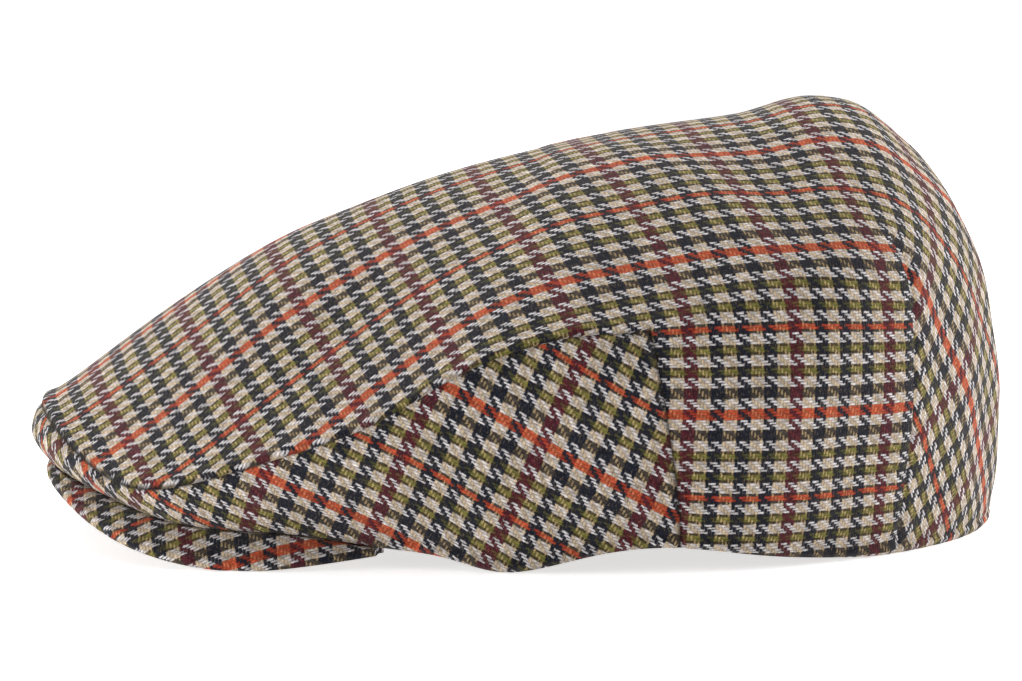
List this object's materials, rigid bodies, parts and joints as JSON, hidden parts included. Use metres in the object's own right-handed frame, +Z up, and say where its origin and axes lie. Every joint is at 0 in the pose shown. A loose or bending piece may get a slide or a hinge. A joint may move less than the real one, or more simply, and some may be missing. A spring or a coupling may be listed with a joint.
{
  "type": "flat cap",
  "caption": "Wool flat cap with a wedge-shaped crown sewn down over a stiff arched peak, open underneath for the head.",
  "frame": {"origin": "centre of the cap's box at floor level, where the back hem, the temples and the peak's low sides rest", "axes": "+Z up, +Y towards the back of the head with the peak at -Y, +X towards the wearer's left"},
  "size_m": [0.179, 0.2646, 0.1157],
  "materials": {
    "houndstooth_wool": "woven wool in cream, navy, olive and orange houndstooth with a soft nap",
    "peak_wool": "the same woven wool drawn over a stiff board"
  },
  "bodies": {
    "root": {"crown": "houndstooth_wool", "side_panel_left": "houndstooth_wool", "side_panel_right": "houndstooth_wool", "peak": "peak_wool"}
  },
  "joints": []
}
